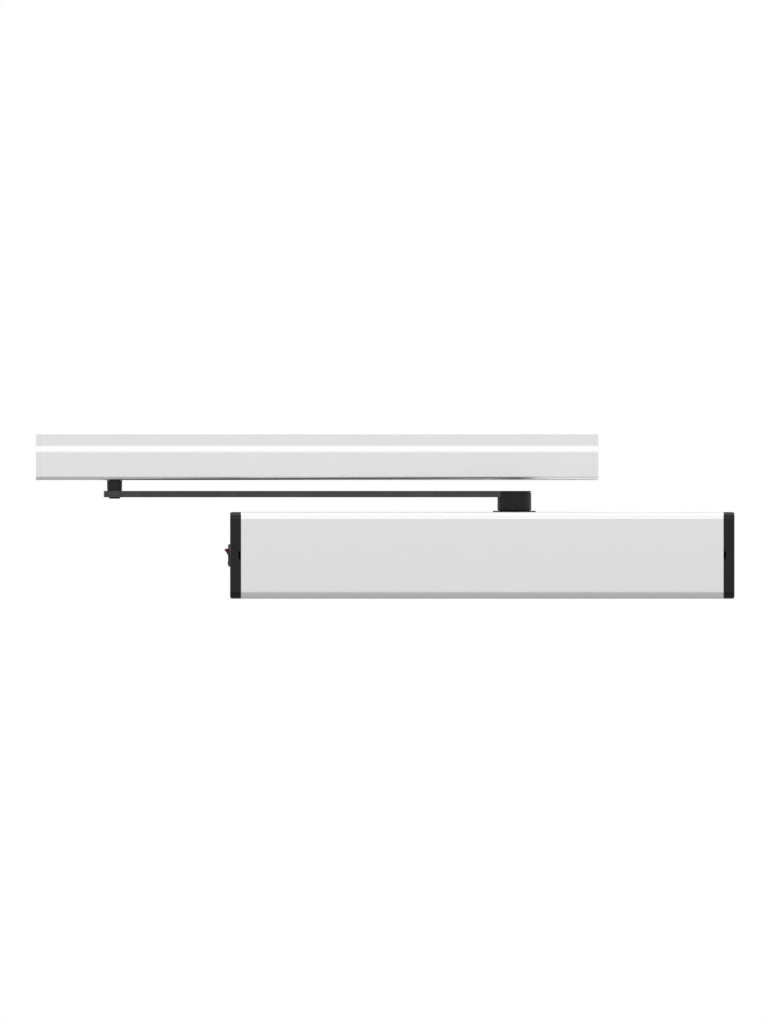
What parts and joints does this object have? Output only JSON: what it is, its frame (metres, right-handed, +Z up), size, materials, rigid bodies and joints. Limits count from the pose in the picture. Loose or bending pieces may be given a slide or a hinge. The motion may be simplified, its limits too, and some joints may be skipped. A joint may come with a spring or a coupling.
{
  "type": "swing door operator",
  "caption": "Electric swing door operator in a slim silver housing with black end caps, with a flat arm that turns on its spindle and pushes a slide rail.",
  "frame": {"origin": "centre of the base plate's back face, on the wall", "axes": "+X along the operator, to the right seen from the front, +Y into the wall, +Z up"},
  "size_m": [0.7209, 0.106, 0.1702],
  "materials": {
    "silver_cover": "natural anodised, fine satin",
    "black_moulding": "fine moulded grain",
    "black_ring": "satin",
    "arm_steel": "dark blackened steel",
    "hub_steel": "blackened",
    "pin_steel": "blackened",
    "switch_black": "gloss",
    "switch_red": "gloss, dark red",
    "zinc_steel": "zinc plated",
    "gear_steel": "hobbed, oiled",
    "bronze": "sintered bronze",
    "rubber": "soft",
    "copper": "enamelled copper wire",
    "board_green": "solder mask",
    "component_black": "moulded",
    "heat_sink_black": "black anodised",
    "terminal_grey": "moulded",
    "blade_brass": "tinned",
    "lead_sheath": "smooth sheath",
    "slider_plastic": "self-lubricating",
    "rail_cap_silver": "silver moulding",
    "plate_steel": "galvanised sheet"
  },
  "bodies": {
    "housing": {"base_plate": "plate_steel", "cover": "silver_cover", "left_end_cap": "black_moulding", "right_end_cap": "black_moulding", "end_cap_screws": "zinc_steel", "spindle_ring": "black_ring", "spindle_hole_plug": "black_ring", "stop_buffers": "rubber", "buffer_studs": "zinc_steel", "gearbox_bottom_plate": "plate_steel", "gearbox_top_plate": "plate_steel", "gearbox_pillars": "zinc_steel", "pillar_screws": "zinc_steel", "gearbox_screws": "zinc_steel", "spindle_bushes": "bronze", "idler_bushes": "bronze", "motor_bushes": "bronze", "motor_can": "zinc_steel", "motor_screws": "zinc_steel", "motor_stator": "gear_steel", "motor_windings": "copper", "controller_board": "board_green", "board_standoffs": "blade_brass", "board_screws": "zinc_steel", "capacitors": "component_black", "heat_sink": "heat_sink_black", "terminal_blocks": "terminal_grey", "relays": "component_black", "power_supply": "plate_steel", "supply_screws": "zinc_steel", "mains_lead": "lead_sheath", "motor_lead": "lead_sheath", "cable_grommet": "rubber", "earth_stud": "blade_brass", "switch_body": "switch_black", "switch_terminals": "blade_brass"},
    "spindle_and_arm": {"spindle": "gear_steel", "output_gear": "gear_steel", "stop_cam": "zinc_steel", "arm_hub": "hub_steel", "arm_bar": "arm_steel", "arm_screw": "hub_steel", "slider_pin": "pin_steel", "slider_screw": "hub_steel", "pin_circlip": "zinc_steel"},
    "second_idler": {"idler_gear_2": "gear_steel", "idler_shaft_2": "gear_steel"},
    "first_idler": {"idler_gear_1": "gear_steel", "idler_shaft_1": "gear_steel"},
    "motor_rotor_and_pinion": {"motor_rotor": "gear_steel", "motor_shaft": "gear_steel", "motor_pinion": "gear_steel"},
    "slider": {"slider_block": "slider_plastic"},
    "rail": {"rail_track": "silver_cover", "rail_cover": "silver_cover", "rail_left_cap": "rail_cap_silver", "rail_right_cap": "rail_cap_silver", "rail_stops": "rubber", "rail_cap_screws": "zinc_steel"},
    "rocker": {"switch_rocker": "switch_red"}
  },
  "joints": [
    {"name": "spindle_turn", "type": "hinge", "parent": "housing", "child": "spindle_and_arm", "pos_m": [0.0333, -0.053, 0], "axis": [0, 0, 1], "range_deg": [0, 115]},
    {"name": "second_idler_turn", "type": "hinge", "parent": "housing", "child": "second_idler", "pos_m": [0.0873, -0.053, 0], "axis": [0, 0, 1], "range_deg": [-329.6, 1]},
    {"name": "first_idler_turn", "type": "hinge", "parent": "housing", "child": "first_idler", "pos_m": [0.1353, -0.053, 0], "axis": [0, 0, 1], "range_deg": [-1, 1174.5]},
    {"name": "motor_turn", "type": "hinge", "parent": "housing", "child": "motor_rotor_and_pinion", "pos_m": [0.1723, -0.053, 0], "axis": [0, 0, 1], "range_deg": [-5030.2, 1]},
    {"name": "slider_pivot", "type": "hinge", "parent": "spindle_and_arm", "child": "slider", "pos_m": [-0.3798, -0.0155, 0.09], "axis": [0, 0, 1], "continuous": true},
    {"name": "rail_slide", "type": "slide", "parent": "slider", "child": "rail", "axis": [1, 0, 0], "range_m": [-0.4576, 0.0388]},
    {"name": "switch_rock", "type": "hinge", "parent": "housing", "child": "rocker", "pos_m": [-0.2583, -0.053, 0], "axis": [0, 1, 0], "range_deg": [0, 26]}
  ],
  "couplings": [
    {"joint": "second_idler_turn", "follows": "spindle_turn", "ratio": -2.8571},
    {"joint": "first_idler_turn", "follows": "spindle_turn", "ratio": 10.204},
    {"joint": "motor_turn", "follows": "spindle_turn", "ratio": -43.732}
  ]
}
